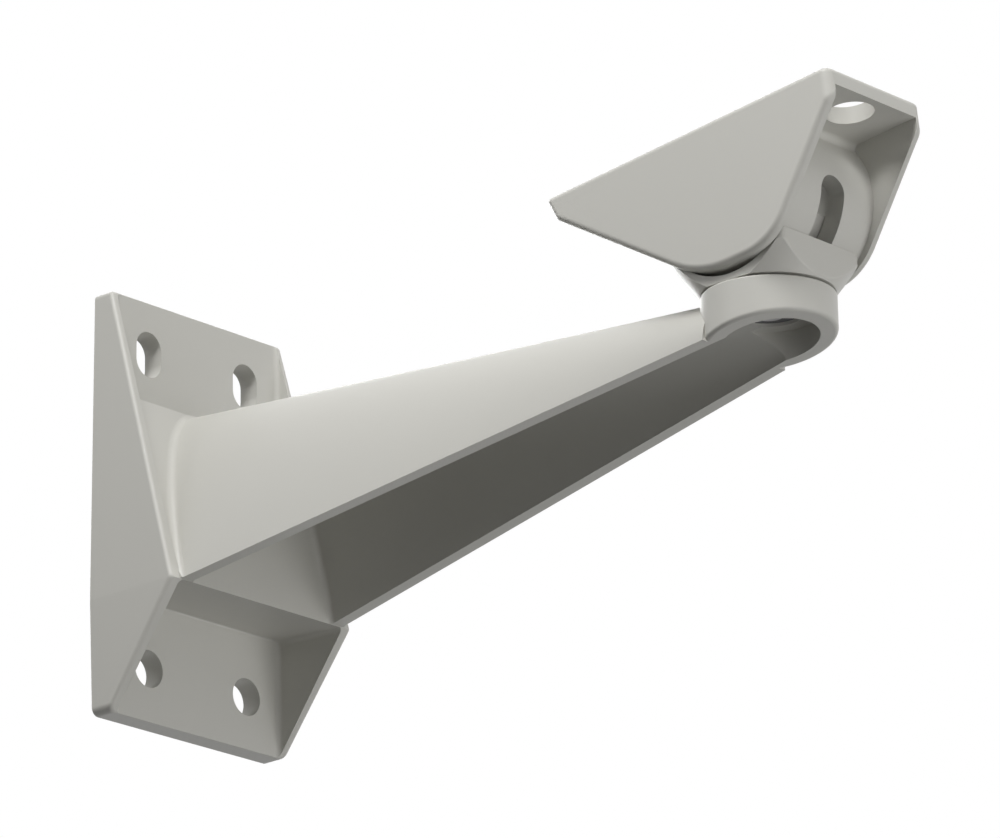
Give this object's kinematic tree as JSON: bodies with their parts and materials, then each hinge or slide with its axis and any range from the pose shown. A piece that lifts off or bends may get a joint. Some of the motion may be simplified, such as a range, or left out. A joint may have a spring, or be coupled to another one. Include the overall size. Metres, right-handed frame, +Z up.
{
  "type": "camera wall bracket",
  "caption": "Cast wall bracket for a camera housing: gusseted wall plate, hollow tapering arm, swivel knuckle and tilting saddle held by one clamp bolt.",
  "frame": {"origin": "centre of the wall plate's back face, midway between the upper and lower wall holes", "axes": "+X out from the wall along the arm, +Z up, +Y to the left of someone who faces the wall"},
  "size_m": [0.2354, 0.0658, 0.1145],
  "materials": {
    "arm_paint": "satin",
    "knuckle_paint": "satin",
    "saddle_paint": "satin",
    "clamp_paint": "satin",
    "steel": "brushed",
    "bush_steel": "dull"
  },
  "bodies": {
    "arm": {"wall_bracket": "arm_paint", "thread_bush": "bush_steel", "pivot_bolt": "steel", "pivot_washer": "steel"},
    "swivel": {"swivel_knuckle": "knuckle_paint", "clamp_block": "clamp_paint"},
    "saddle": {"tilt_saddle": "saddle_paint"}
  },
  "joints": [
    {"name": "pan", "type": "hinge", "parent": "arm", "child": "swivel", "pos_m": [0.2, 0, 0.0124], "axis": [0, 0, 1], "range_deg": [-90, 90]},
    {"name": "tilt", "type": "hinge", "parent": "swivel", "child": "saddle", "pos_m": [0.2, 0, 0.036], "axis": [0, 1, 0], "range_deg": [-14, 58]}
  ]
}
